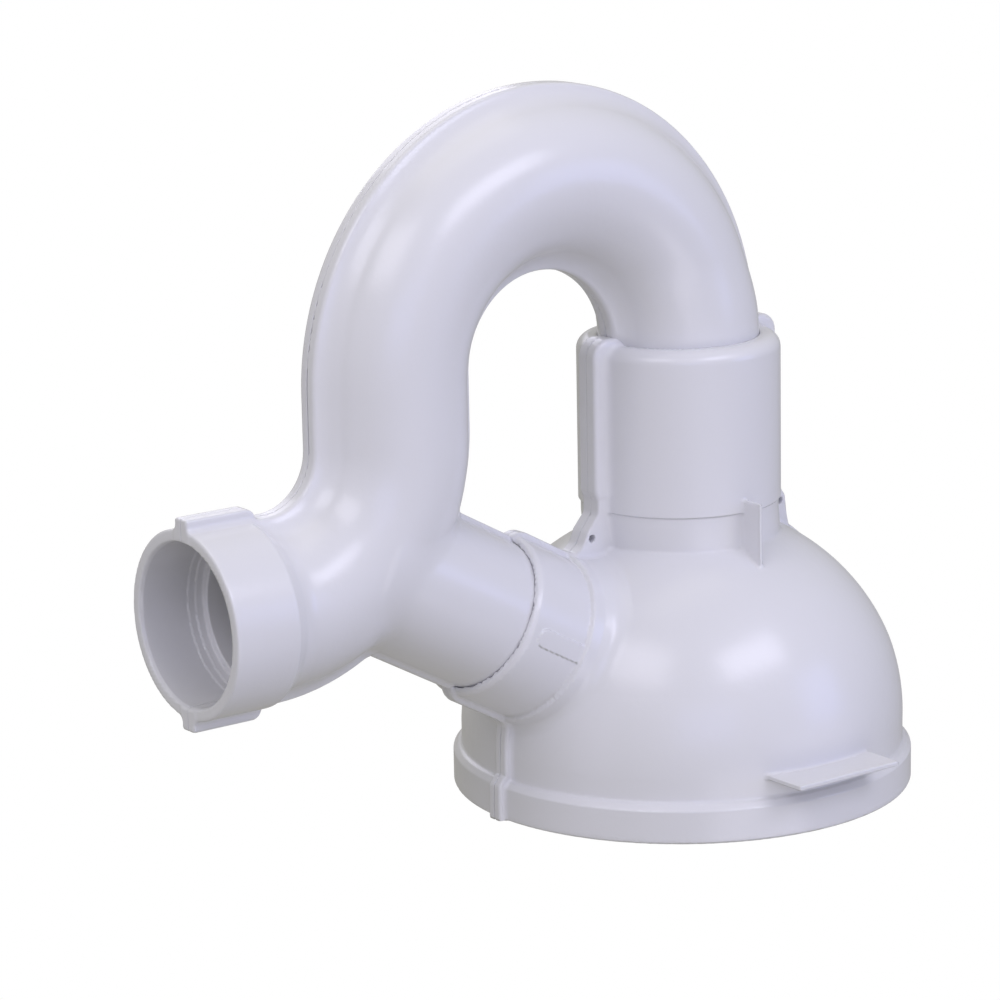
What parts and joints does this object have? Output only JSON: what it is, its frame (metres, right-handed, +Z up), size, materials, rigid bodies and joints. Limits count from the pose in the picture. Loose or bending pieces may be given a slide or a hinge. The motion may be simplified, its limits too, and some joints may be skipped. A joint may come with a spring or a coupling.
{
  "type": "gully p trap",
  "caption": "White plastic gully trap: a bell-shaped hopper whose neck turns over in a deep U bend to a level outlet socket, with a slanted rodding arm shut by a pull-out plug.",
  "frame": {"origin": "middle of the bounding box in plan, on the plane of the hopper's mouth, which the part stands on as pictured (upside down to its use)", "axes": "+Z up out of the hopper's neck, X along the seam plane with the outlet socket's mouth facing -X, -Y towards the front half"},
  "size_m": [0.2666, 0.17, 0.233],
  "materials": {
    "white_pvc": "satin, moulded, white with a cool cast",
    "black_rubber": "matt"
  },
  "bodies": {
    "trap": {"hopper_front_half": "white_pvc", "hopper_rear_half": "white_pvc", "bend_front_half": "white_pvc", "bend_rear_half": "white_pvc"},
    "plug": {"rodding_plug": "white_pvc", "plug_seal_ring": "black_rubber"}
  },
  "joints": [
    {"name": "plug_pull", "type": "slide", "parent": "trap", "child": "plug", "axis": [0.8746, 0, -0.4848], "range_m": [0, 0.04]}
  ]
}
